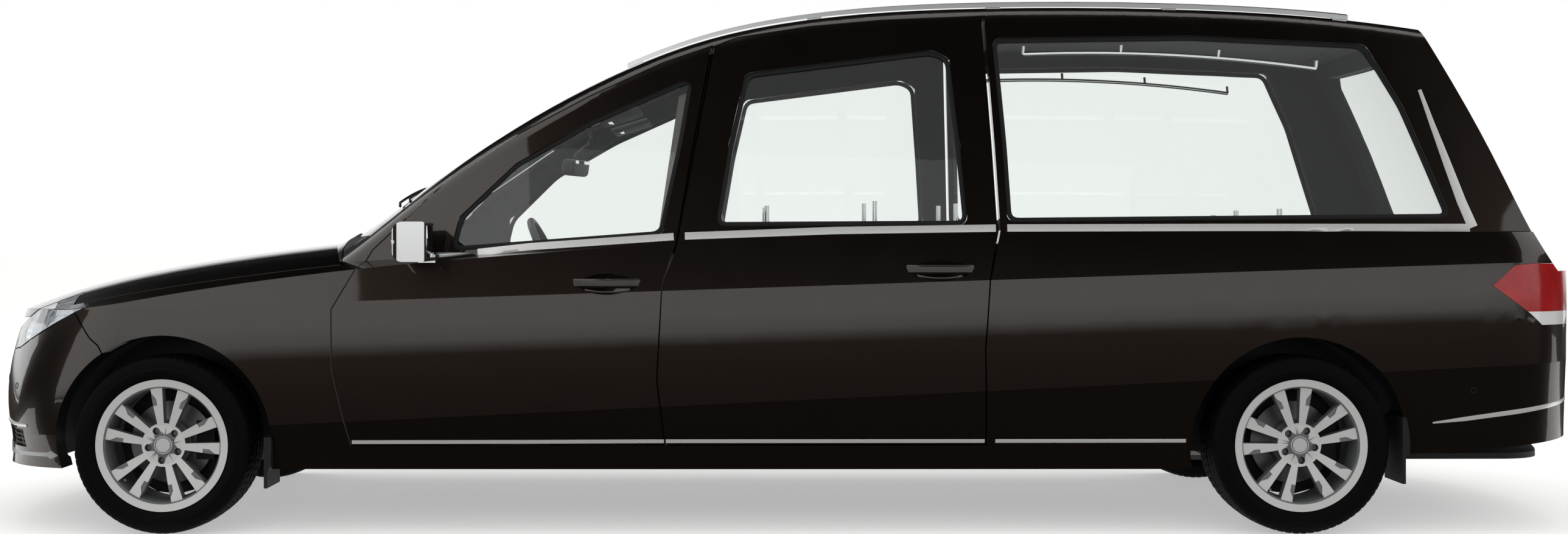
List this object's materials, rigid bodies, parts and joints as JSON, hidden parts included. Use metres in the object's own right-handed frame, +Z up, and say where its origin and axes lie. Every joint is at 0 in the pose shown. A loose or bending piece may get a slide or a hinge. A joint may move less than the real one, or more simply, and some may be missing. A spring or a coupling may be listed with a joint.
{
  "type": "hearse",
  "caption": "Long four-door hearse with a glazed load space, coffin deck, opening doors, bonnet and tailgate, steering front wheels and rolling road wheels.",
  "frame": {"origin": "middle of the bounding box on the ground", "axes": "+X towards the tail, the front faces -X; -Y is the car's left side; +Z up"},
  "size_m": [6.0085, 2.176, 1.9438],
  "materials": {
    "paint": "gloss",
    "chassis": "satin",
    "window_glass": "gloss",
    "chrome": "polished",
    "black_plastic": "satin",
    "lamp_clear": "gloss",
    "lamp_red": "gloss",
    "alloy": "machined",
    "tyre": "matte",
    "steel": "turned",
    "iron": "cast",
    "seat_cloth": "grained",
    "deck_board": "varnished"
  },
  "bodies": {
    "body": {"floor": "chassis", "side_left": "paint", "side_right": "paint", "wing_left": "paint", "wing_right": "paint", "roof": "paint", "cowl": "black_plastic", "windscreen": "window_glass", "quarter_windows": "window_glass", "bumper_nose": "paint", "grille": "chrome", "headlamps": "chrome", "headlamp_lenses": "lamp_clear", "intake_slats": "black_plastic", "reversing_lamps": "lamp_clear", "bumper_back": "paint", "tail_lamps": "lamp_red", "roof_rails": "chrome", "mud_flaps": "black_plastic", "arch_liners": "black_plastic", "dashboard": "black_plastic", "steering_wheel": "black_plastic", "seats": "seat_cloth", "deck": "deck_board", "deck_fittings": "chrome", "engine": "iron", "front_carrier": "iron", "rear_carrier": "iron", "rear_uprights": "iron", "exhaust": "steel"},
    "bonnet": {"bonnet": "paint"},
    "tailgate": {"tailgate": "paint", "tailgate_glass": "window_glass"},
    "knuckle_left": {"knuckle_left": "iron"},
    "knuckle_right": {"knuckle_right": "iron"},
    "door_front_left": {"door_front_left": "paint", "glass_front_left": "window_glass", "mirror_left": "chrome"},
    "door_rear_left": {"door_rear_left": "paint", "glass_rear_left": "window_glass"},
    "wheel_front_left": {"rim_front_left": "alloy", "tyre_front_left": "tyre", "disc_front_left": "steel"},
    "wheel_rear_left": {"rim_rear_left": "alloy", "tyre_rear_left": "tyre", "disc_rear_left": "steel"},
    "door_front_right": {"door_front_right": "paint", "glass_front_right": "window_glass", "mirror_right": "chrome"},
    "door_rear_right": {"door_rear_right": "paint", "glass_rear_right": "window_glass"},
    "wheel_front_right": {"rim_front_right": "alloy", "tyre_front_right": "tyre", "disc_front_right": "steel"},
    "wheel_rear_right": {"rim_rear_right": "alloy", "tyre_rear_right": "tyre", "disc_rear_right": "steel"}
  },
  "joints": [
    {"name": "steer_left", "type": "hinge", "parent": "body", "child": "knuckle_left", "pos_m": [-2.205, -0.74, 0.343], "axis": [0, 0, 1], "range_deg": [-33, 33]},
    {"name": "spin_front_left", "type": "hinge", "parent": "knuckle_left", "child": "wheel_front_left", "pos_m": [-2.205, -0.8, 0.32], "axis": [0, -1, 0], "continuous": true},
    {"name": "spin_rear_left", "type": "hinge", "parent": "body", "child": "wheel_rear_left", "pos_m": [1.855, -0.8, 0.32], "axis": [0, -1, 0], "continuous": true},
    {"name": "open_door_front_left", "type": "hinge", "parent": "body", "child": "door_front_left", "pos_m": [-1.536, -0.928, 0.64], "axis": [0, 0, -1], "range_deg": [0, 66]},
    {"name": "open_door_rear_left", "type": "hinge", "parent": "body", "child": "door_rear_left", "pos_m": [-0.412, -0.928, 0.64], "axis": [0, 0, -1], "range_deg": [0, 66]},
    {"name": "steer_right", "type": "hinge", "parent": "body", "child": "knuckle_right", "pos_m": [-2.205, 0.74, 0.343], "axis": [0, 0, 1], "range_deg": [-33, 33]},
    {"name": "spin_front_right", "type": "hinge", "parent": "knuckle_right", "child": "wheel_front_right", "pos_m": [-2.205, 0.8, 0.32], "axis": [0, -1, 0], "continuous": true},
    {"name": "spin_rear_right", "type": "hinge", "parent": "body", "child": "wheel_rear_right", "pos_m": [1.855, 0.8, 0.32], "axis": [0, -1, 0], "continuous": true},
    {"name": "open_door_front_right", "type": "hinge", "parent": "body", "child": "door_front_right", "pos_m": [-1.536, 0.928, 0.64], "axis": [0, 0, 1], "range_deg": [0, 66]},
    {"name": "open_door_rear_right", "type": "hinge", "parent": "body", "child": "door_rear_right", "pos_m": [-0.412, 0.928, 0.64], "axis": [0, 0, 1], "range_deg": [0, 66]},
    {"name": "open_bonnet", "type": "hinge", "parent": "body", "child": "bonnet", "pos_m": [-1.585, 0, 1.058], "axis": [0, 1, 0], "range_deg": [0, 50]},
    {"name": "open_tailgate", "type": "hinge", "parent": "body", "child": "tailgate", "pos_m": [2.284, 0, 1.886], "axis": [0, -1, 0], "range_deg": [0, 84]}
  ],
  "couplings": [
    {"joint": "steer_right", "follows": "steer_left", "ratio": 1}
  ]
}
